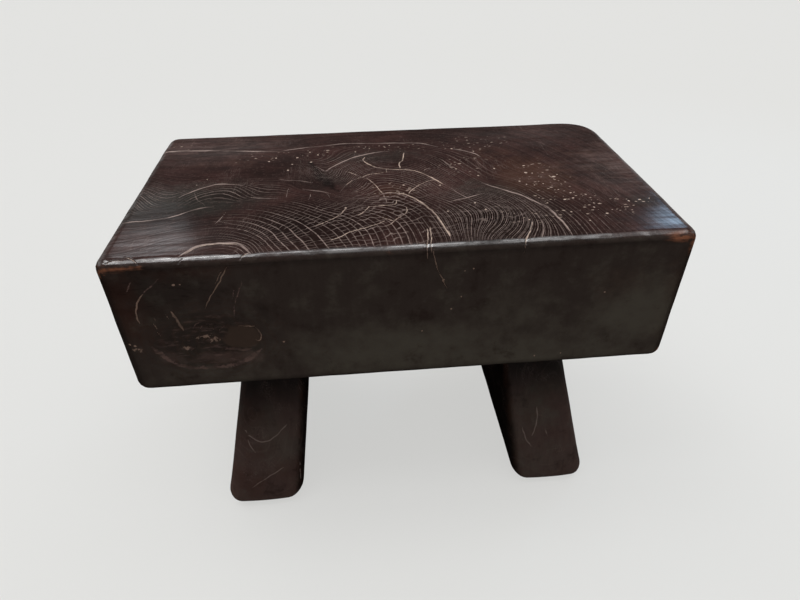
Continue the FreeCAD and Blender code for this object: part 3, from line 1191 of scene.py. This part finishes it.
def finish_shader(shader, base, roughness, height, coat=None):
    """Links a finish to the shader, with its height as a bump in metres."""
    tree = shader.id_data
    bump = add_node(tree, "ShaderNodeBump", {"Height": height, "Strength": 1.0, "Distance": 1.0})
    tree.links.new(base, shader.inputs["Base Color"])
    tree.links.new(roughness, shader.inputs["Roughness"])
    tree.links.new(bump.outputs["Normal"], shader.inputs["Normal"])
    if coat is not None:
        tree.links.new(coat, shader.inputs["Coat Weight"])


def worn_and_glinting_edges(base, tones, place, worn, share):
    """Rubs the stain off the rims in ragged patches, in a tone that on the seat's corners also paints a
    copper glint.
    """
    inputs = {"Place": place, "Rim": attribute(place.id_data, "rim"), "Worn": worn}
    wear_and_glint = use_group("edge_wear", inputs)["Wear"]
    return lay(base, times(wear_and_glint, share), tones.wear_and_glint)


def top_colour(tree, place, tones, rings, ragged):
    """End grain: heartwood clouds, soft bands, olive and rusty zones, pale patches of painted sheen, and
    pale ring lines and rays.
    """
    clouds = between(cloudy(place, 14.0, 5.0, 0.6), 0.3, 0.7)
    streaky = between(cloudy(place, 11.0, 4.0, 0.6), 0.35, 0.65, 0.25, 1.0)
    drawn = cloudy(stretched(place, (30.0, 90.0, 30.0)), 1.0, 5.0, 0.7)
    drawn = between(drawn, 0.42, 0.66, 0.06, 0.65)
    deep = frayed("deep", ragged, 0.8)
    grit = cloudy(place, 260.0, 4.0, 0.7)
    base = layered(
        blended(clouds, colour(tones.shade), colour(tones.heart)),
        (tones.shade, rings["Band"], 0.4, 0.65, 0.45),
        (tones.olive, frayed("olive", ragged, 1.0), 0.2, 0.9, 0.9),
        (tones.rust, frayed("rust", ragged, 1.0), 0.2, 0.9, 0.5),
        (tones.streak, rings["Streak"], 0.5, 0.7, 0.42, streaky),
        (tones.shade, rings["Streak"], 0.48, 0.3, 0.5, streaky),
        # Painted sheen: pale streaky patches standing in for a reflection on the top.
        (tones.streak, frayed("painted_sheen", ragged, 1.2), 0.2, 0.9, 1.0, drawn),
        (tones.shade, deep, 0.1, 0.8, 0.9),
        (tones.shade, grit, 0.46, 0.3, 0.5),
        (tones.streak, grit, 0.54, 0.72, 0.4),
        (tones.pit_and_shade, deep, 0.7, 1.5, 0.6),
        (tones.pit_and_shade, frayed("fold", ragged, 1.0), 0.1, 0.95, 0.85),
    )
    flat = between(attribute(tree, "upward"), 0.95, 0.999)
    ring_show = between(frayed("ring_show", ragged, 0.5), 0.1, 0.62, 0.03, 0.95)
    line = times(rings["Line"], flat, ring_show)
    base = lay(base, line, tones.ring)
    age = times(attribute(tree, "growth"), FINE_RINGS)
    finer = {"Place": place, "Age": age, "Wander": 0.5, "Width": 0.14, "Broken": 0.7}
    fine_show = between(frayed("fine_show", ragged, 0.5), 0.1, 0.7, 0.0, 0.8)
    rays = {
        "Place": place, "Middle X": RAY_MIDDLE_X, "Middle Y": RAY_MIDDLE_Y, "Count": 22.0, "Width": 0.09,
    }
    ray_show = between(frayed("ray_show", ragged, 0.5), 0.2, 0.8, 0.0, 0.5)
    for group, inputs, show in (("growth_rings", finer, fine_show), ("wood_rays", rays, ray_show)):
        thin = use_group(group, inputs)["Line"]
        base = lay(base, times(thin, flat, show), tones.ring)
    kept = between(cloudy(place, 26.0, 2.0), 0.36, 0.58, 0.3, 1.0)
    pale = (tones.ring, frayed("pale", ragged, 1.1), 0.3, 0.9, 0.9, kept)
    return layered(base, pale), line


def side_colour(tree, place, tones, ragged):
    """Side grain: dark streaks, reddish and grey green zones (low on the front also a painted floor
    reflection), painted shade on the rims that do not face up, and the knot with its swirl and chips.
    """
    figure = use_group("side_grain", {"Place": place, "Middle X": 0.1})
    unseen = between(attribute(tree, "facing_front"), 0.9, 0.2)
    grain = times(between(figure["Streak"], 0.35, 0.65), scaled(unseen, 0.3, 0.12))
    base = blended(grain, colour(tones.side), colour(tones.shade))
    for shift, tone in ((0.0, tones.reddish), (3.0, tones.mossy_and_reflection)):
        inputs = {0: place, 1: (shift, shift, shift)}
        moved = add_node(tree, "ShaderNodeVectorMath", inputs, operation="ADD").outputs[0]
        base = layered(base, (tone, cloudy(moved, 5.0, 4.0), 0.5, 0.7, 0.6, unseen))
    blotch = cloudy(place, 34.0, 5.0, 0.7)
    base = layered(
        base,
        (tones.reddish, frayed("reddish", ragged, 0.9), 0.15, 0.9, 0.8),
        # Grey green patches, low on the front also a painted floor reflection.
        (tones.mossy_and_reflection, frayed("mossy_and_reflection", ragged, 0.9), 0.15, 0.9, 0.9),
        (tones.mossy_and_reflection, blotch, 0.5, 0.72, 0.45),
        (tones.shade, blotch, 0.47, 0.28, 0.5),
    )
    knot = attribute(tree, "knot")
    swirl = scaled(uneven(place, 45.0, 5.0, 0.65), 4.0, times(knot, 5.0))
    swirl = whole_lines(swirl, 0.22)
    inside = between(scaled(ragged, 0.6, knot), 1.08, 0.62)
    inside = times(inside, attribute(tree, "facing_front"))
    lying = stretched(place, (70.0, 70.0, 260.0), (0.0, 0.25, 0.0))
    mottled = between(cloudy(lying, 1.0, 4.0, 0.65), 0.5, 0.7)
    for tone, share in (
        (tones.reddish, times(swirl, between(knot, 1.9, 1.0), 0.2)),
        (tones.pit_and_shade, times(inside, 0.25)),
        (tones.lip, times(inside, mottled, 0.5)),
        (tones.filler, times(inside, swirl, 0.4)),
    ):
        base = lay(base, share, tone)
    mottled = between(mottled, 0.0, 1.0, 0.6, 1.0)
    crumbly = uneven(place, 260.0, 4.0, 0.65)
    torn = scaled(crumbly, 2.4, frayed("lip", ragged, 1.4))
    lit = between(cloudy(lying, 0.6, 3.0), 0.38, 0.58, 0.25, 1.0)
    by_lip = between(attribute(tree, "lip"), 0.02, 0.15)
    by_chip = between(attribute(tree, "chip"), 0.02, 0.2)
    return layered(
        base,
        (tones.lip, frayed("pinkish", ragged, 1.4), 0.2, 0.8, 0.5, mottled),
        (tones.pit_and_shade, frayed("dusky", ragged, 1.4), 0.2, 0.8, 0.5, mottled),
        (tones.filler, frayed("filler", ragged, 1.2), 0.45, 0.75, 0.9),
        (tones.lip, torn, 0.25, 0.8, 0.85, lit, by_lip),
        (tones.chip, frayed("chip", crumbly, 3.0), 0.5, 0.8, 1.0, by_chip, 0.85),
        # Painted shade: the rounded edges that do not face up, and the lower half of the top's rim, are
        # darkened.
        (tones.pit_and_shade, attribute(tree, "upward"), 0.6, 0.35, 1.0, attribute(tree, "rim"), 0.55),
    )


def end_grain_material():
    """The seat: stained end grain on top, and dark side grain round it."""
    tones = stool_colours()
    material, tree, shader = new_material("stained_end_grain", 0.0, 0.18)
    shader.inputs["Coat IOR"].default_value = 2.2
    place = object_places(tree)
    upward = between(attribute(tree, "upward"), 0.6, 0.96)
    ragged = uneven(place, 55.0, 5.0, 0.6)
    growth = attribute(tree, "growth")
    inputs = {"Place": place, "Age": growth, "Wander": 0.32, "Width": 0.105, "Broken": 0.75}
    rings = use_group("growth_rings", inputs)
    top, line = top_colour(tree, place, tones, rings, ragged)
    base = blended(upward, side_colour(tree, place, tones, ragged), top)
    fine = uneven(place, 420.0, 2.0)
    check = between(frayed("check", fine, 0.7), 0.35, 0.7)
    patchy = between(cloudy(place, 70.0, 3.0), 0.3, 0.6, 0.3, 1.0)
    filling = blended(upward, colour(tones.chip), colour(tones.dust))
    base = blended(times(check, patchy), base, filling)
    base = blended(between(frayed("pore", fine, 0.5), 0.32, 0.5), base, filling)
    speck_show = between(frayed("speck_show", ragged, 0.9), 0.2, 0.55)
    for scale, size, share in ((190.0, 0.26, 0.55), (330.0, 0.3, 0.45)):
        inputs = {"Place": place, "Scale": scale, "Size": size, "Share": share}
        speck = use_group("filled_pores", inputs)["Speck"]
        base = lay(base, times(speck, speck_show, upward, 0.85), tones.dust)
    along = stretched(place, (28.0, 150.0, 150.0))
    # Rubbed corners, their tone also a painted copper glint.
    base = worn_and_glinting_edges(base, tones, along, attribute(tree, "worn"), 0.7)
    scratch = use_group("fine_scratches", {"Place": place, "Scale": 1.0})["Scratch"]
    base = lay(base, times(scratch, upward, 0.15), tones.ring)
    smear = cloudy(place, 22.0, 5.0, 0.6)
    roughness = scaled(smear, 0.2, between(upward, 0.0, 1.0, 0.5, 0.26))
    roughness = scaled(calculate("MAXIMUM", check, scratch), 0.2, roughness)
    dents = times(cloudy(place, 170.0, 5.0, 0.6), attribute(tree, "rim"))
    height = times(line, -0.00005)
    for relief, metres in ((smear, 0.0003), (fine, 0.00004), (dents, 0.0018), (scratch, -0.00003)):
        height = scaled(relief, metres, height)
    facing_up = between(attribute(tree, "upward"), 0.6, 0.82)
    handled = between(attribute(tree, "facing_front"), 0.02, 0.15, 0.3, 1.0)
    rubbed = cloudy(stretched(place, (32.0, 90.0, 90.0)), 1.0, 5.0, 0.65)
    rubbed = between(rubbed, 0.4, 0.56, 0.25, 1.0)
    rim = between(attribute(tree, "rim"), 0.05, 0.6, 0.0, 0.9)
    smeared = between(smear, 0.3, 0.6, 0.5, 1.0)
    rim = times(times(rim, facing_up, handled, rubbed), smeared)
    brushed = cloudy(stretched(place, (12.0, 150.0, 40.0)), 1.0, 3.0)
    brushed = between(brushed, 0.35, 0.65, 0.4, 1.2)
    polish = times(between(rings["Streak"], 0.35, 0.6, 0.07, 0.18), brushed)
    polish = scaled(polish, attribute(tree, "polish"), 0.02)
    finish_shader(shader, base, roughness, height, scaled(upward, polish, rim))
    return material


def leg_material():
    """The legs: dark stained side grain with worn edges and a few pale grain lines, with painted shade
    towards the seat and on the inner faces.
    """
    tones = stool_colours()
    material, tree, shader = new_material("stained_wood", 0.0, 0.35)
    place = object_places(tree)
    inner = attribute(tree, "inner")
    figure = use_group("side_grain", {"Place": place, "Middle X": 0.195})
    clouds = between(cloudy(place, 9.0, 3.0), 0.45, 0.75, 0.0, 0.7)
    blotch = cloudy(place, 40.0, 5.0, 0.7)
    base = layered(
        blended(clouds, colour(tones.leg), colour(tones.mossy_and_reflection)),
        (tones.shade, figure["Streak"], 0.4, 0.7, 0.18),
        (tones.reddish, cloudy(place, 13.0, 4.0, 0.6), 0.55, 0.3, 0.45),
        (tones.mossy_and_reflection, blotch, 0.5, 0.72, 0.5),
        (tones.shade, blotch, 0.47, 0.28, 0.6),
        # Painted shade: darker towards the top of the leg, under the seat.
        (tones.pit_and_shade, place_parts(place)["Z"], 0.105, 0.19, 0.95),
    )
    # Painted shade: the inner faces, between the legs, are darkened nearly to black.
    base = lay(base, times(inner, 0.9), tones.pit_and_shade)
    arch_show = between(cloudy(place, 16.0, 2.0), 0.45, 0.65, 0.0, 0.03)
    base = lay(base, times(figure["Arch"], arch_show), tones.ring)
    pale = frayed("pale", uneven(place, 90.0, 4.0, 0.6), 0.9)
    base = layered(base, (tones.ring, pale, 0.25, 0.85, 0.32))
    base = worn_and_glinting_edges(base, tones, stretched(place, (70.0, 70.0, 22.0)), 0.42, 0.12)
    down = stretched(place, (1.0, 1.0, 1.0), (math.pi / 2, 0.0, 0.3))
    scratch = use_group("fine_scratches", {"Place": down, "Scale": 1.3})["Scratch"]
    base = lay(base, times(scratch, 0.15), tones.ring)
    roughness = scaled(cloudy(place, 20.0, 3.0), 0.2, 0.45)
    roughness = scaled(inner, 0.35, roughness)
    height = scaled(figure["Streak"], 0.0002, times(scratch, -0.00004))
    finish_shader(shader, base, roughness, height, between(inner, 0.0, 0.6, 0.06, 0.0))
    return material


def wedge_material():
    """The wedges: pale riven wood with its grain along the wedge."""
    wedge = stool_colours().wedge
    material, tree, shader = new_material("wedge_wood", 0.4)
    streak = use_group("side_grain", {"Place": object_places(tree), "Middle X": 0.05})["Streak"]
    base = blended(streak, colour(wedge), colour(wedge, 0.6))
    roughness = between(streak, 0.3, 0.7, 0.5, 0.7)
    finish_shader(shader, base, roughness, times(streak, 0.0002))
    return material


def felt_material():
    """The pads: matted grey brown felt."""
    felt = stool_colours().felt
    material, tree, shader = new_material("felt", 0.15)
    shader.inputs["Sheen Weight"].default_value = 0.4
    place = object_places(tree)
    fibres = cloudy(place, 900.0, 6.0, 0.7)
    matting = cloudy(place, 120.0, 4.0, 0.6)
    base = blended(between(matting, 0.35, 0.65), colour(felt, 0.5), colour(felt))
    base = blended(between(fibres, 0.5, 0.8, 0.0, 0.5), base, colour(felt, 2.0))
    roughness = between(fibres, 0.3, 0.7, 0.85, 1.0)
    height = scaled(fibres, 0.0004, times(matting, 0.0004))
    finish_shader(shader, base, roughness, height)
    return material


# The studio


def seen_share(tree):
    """1 for what the camera sees, straight or in a gloss, and 0 for the light that falls on the stool."""
    rays = add_node(tree, "ShaderNodeLightPath").outputs
    mirrored = calculate("MAXIMUM", rays["Is Glossy Ray"], rays["Is Transmission Ray"])
    return calculate("MAXIMUM", rays["Is Camera Ray"], mirrored)


def floor_material(studio, tones):
    """A plain pale floor, which the camera sees with a softened shadow, and which is clear from below."""
    material, tree, shader = new_material("studio_floor", 0.0)
    paper = between(cloudy(object_places(tree), 3.0, 2.0), 0.3, 0.7, 0.0, 0.02)
    base = blended(paper, colour(tones.floor), colour(tones.floor, 0.9))
    tree.links.new(base, shader.inputs["Base Color"])
    shader.inputs["Roughness"].default_value = 0.9
    glow = add_node(tree, "ShaderNodeEmission", {"Color": colour(tones.floor), "Strength": 1.0})
    share = times(seen_share(tree), studio.shadow_softening)
    mix = add_node(tree, "ShaderNodeMixShader", {0: share, 1: shader.outputs[0], 2: glow.outputs[0]})
    clear = add_node(tree, "ShaderNodeBsdfTransparent").outputs[0]
    below = add_node(tree, "ShaderNodeNewGeometry").outputs["Backfacing"]
    open_below = add_node(tree, "ShaderNodeMixShader", {0: below, 1: mix.outputs[0], 2: clear})
    tree.links.new(open_below.outputs[0], tree.nodes["Material Output"].inputs["Surface"])
    return material


def add_camera(studio):
    data = bpy.data.cameras.new("camera")
    data.lens = studio.lens
    data.sensor_width = 36.0
    data.clip_start = 0.01
    camera = new_object("camera", data)
    turn = Matrix.Rotation(-studio.camera_yaw, 4, "Z")
    turn = turn @ Matrix.Rotation(math.pi / 2 - studio.camera_pitch, 4, "X")
    turn = turn @ Matrix.Rotation(studio.camera_roll, 4, "Z")
    camera.matrix_world = Matrix.Translation(studio.camera_place) @ turn
    bpy.context.scene.camera = camera


def add_softbox(name, place, aim, size, power, tint):
    """A window's light that stands at a place and shines at another."""
    data = bpy.data.lights.new(name, "AREA")
    data.shape = "RECTANGLE"
    data.size, data.size_y = size
    data.energy = power
    data.color = tint
    light = new_object(name, data)
    light.location = place
    light.rotation_mode = "QUATERNION"
    light.rotation_quaternion = (Vector(place) - Vector(aim)).to_track_quat("Z", "Y")


# Three rows of ceiling lamps: how far each lamp of a row leans sideways in degrees, and for each row's
# lean to the back the shares of its lamps.
LAMP_ROW = (-33, -22, -11, 0, 11, 22, 33)
LAMP_SHARES = {
    -6: (3.1, 1.9, 0.4, 0.2, 0.4, 0.8, 0.9),
    9: (3.1, 3.3, 2.2, 1.8, 1.3, 0.9, 0.9),
    24: (3.1, 1.9, 0.4, 0.2, 0.4, 0.8, 0.9),
}
LAMP_SPREAD = 15
# The light off the ceiling leans like the middle row, and is much softer.
BOUNCE_LEAN = 9
BOUNCE_SPREAD = 60
# The windows: a place, an aim, a size, a share of the window power and a tint.
WINDOWS = {
    "right_window": ((1.15, 1.00, 1.10), (0.300, -0.155, 0.395), (0.3, 0.3), 1.0, (0.5, 0.74, 1.0)),
    "left_window": ((-0.81, 1.26, 1.19), (-0.26, -0.14, 0.395), (0.3, 0.2), 0.29, (0.95, 0.97, 1.0)),
}
# The lit floor is seen a little lighter than its colour, and so is the backdrop.
BACKDROP_MATCH = 1.04
FLOOR_REACH = 12.0


def add_overhead(name, lean, sideways, spread, strength):
    """A soft light from above that leans towards the back, and lights the floor evenly."""
    data = bpy.data.lights.new(name, "SUN")
    data.angle = math.radians(spread)
    data.energy = strength
    new_object(name, data).rotation_euler = (-math.radians(lean), math.radians(sideways), 0.0)


def light_world(scene, studio, tones):
    """A sky that is brighter overhead, and a plain backdrop for the camera and the glosses."""
    world = bpy.data.worlds.new("studio_sky")
    scene.world = world
    world.use_nodes = True
    tree = world.node_tree
    lit = tree.nodes["Background"]
    lit.inputs["Color"].default_value = (1.0, 1.0, 1.0, 1.0)
    direction = add_node(tree, "ShaderNodeTexCoord").outputs["Generated"]
    height = place_parts(direction)["Z"]
    strength = between(height, 0.45, 1.0, studio.horizon_strength, studio.zenith_strength)
    tree.links.new(strength, lit.inputs["Strength"])
    straight = add_node(tree, "ShaderNodeLightPath").outputs["Is Camera Ray"]
    ceiling = between(height, 0.32, 0.55, BACKDROP_MATCH, 0.2)
    backdrop = calculate("MAXIMUM", times(straight, BACKDROP_MATCH), ceiling)
    seen = add_node(tree, "ShaderNodeBackground", {"Color": colour(tones.floor), "Strength": backdrop})
    inputs = {0: seen_share(tree), 1: lit.outputs[0], 2: seen.outputs[0]}
    mix = add_node(tree, "ShaderNodeMixShader", inputs)
    tree.links.new(mix.outputs[0], tree.nodes["World Output"].inputs["Surface"])


class STOOL_OT_studio(bpy.types.Operator):
    """Makes the floor, the lights and the camera"""

    bl_idname = "stool.studio"
    bl_label = "Studio"

    def execute(self, context):
        scene = context.scene
        studio, tones = scene.stool_studio, scene.stool_colours
        bm = bmesh.new()
        bmesh.ops.create_grid(bm, x_segments=8, y_segments=8, size=FLOOR_REACH)
        floor = new_object("studio_floor", new_mesh(bm, "studio_floor", floor_material(studio, tones)))
        light_world(scene, studio, tones)
        for row, (lean, shares) in enumerate(LAMP_SHARES.items(), 1):
            for number, (sideways, share) in enumerate(zip(LAMP_ROW, shares), 1):
                name = f"overhead_lamp_{row}_{number}"
                add_overhead(name, lean, sideways, LAMP_SPREAD, share * studio.lamp_strength)
        add_overhead("ceiling_bounce", BOUNCE_LEAN, 0, BOUNCE_SPREAD, studio.bounce_strength)
        for name, (place, aim, size, share, tint) in WINDOWS.items():
            add_softbox(name, place, aim, size, studio.window_power * share, tint)
        add_camera(studio)
        scene.view_settings.view_transform = "Standard"
        return {"FINISHED"}


class STOOL_PT_panel(bpy.types.Panel):
    """Lists the stool's pieces"""

    bl_label = "Block stool"
    bl_idname = "STOOL_PT_panel"
    bl_space_type = "VIEW_3D"
    bl_region_type = "UI"
    bl_category = "Stool"

    def draw(self, context):
        column = self.layout.column()
        for operator in OPERATORS:
            column.operator(operator.bl_idname)
        scene = context.scene
        for group in (scene.stool_sizes, scene.stool_colours, scene.stool_studio):
            for name in group.bl_rna.properties.keys():
                if name not in ("rna_type", "name"):
                    column.prop(group, name)


OPERATORS = (STOOL_OT_seat_block, STOOL_OT_legs, STOOL_OT_wedges, STOOL_OT_pads, STOOL_OT_studio)
CLASSES = (StoolSizes, StoolColours, StoolStudio, *OPERATORS, STOOL_PT_panel)


def register():
    for item in CLASSES:
        bpy.utils.register_class(item)
    bpy.types.Scene.stool_sizes = PointerProperty(type=StoolSizes)
    bpy.types.Scene.stool_colours = PointerProperty(type=StoolColours)
    bpy.types.Scene.stool_studio = PointerProperty(type=StoolStudio)


def unregister():
    del bpy.types.Scene.stool_studio
    del bpy.types.Scene.stool_colours
    del bpy.types.Scene.stool_sizes
    for item in reversed(CLASSES):
        bpy.utils.unregister_class(item)


def main():
    register()
    for make_group in GROUP_MAKERS:
        make_group()
    bpy.ops.stool.seat_block()
    bpy.ops.stool.legs()
    bpy.ops.stool.wedges()
    bpy.ops.stool.pads()
    bpy.ops.stool.studio()


if __name__ == "__main__":
    main()
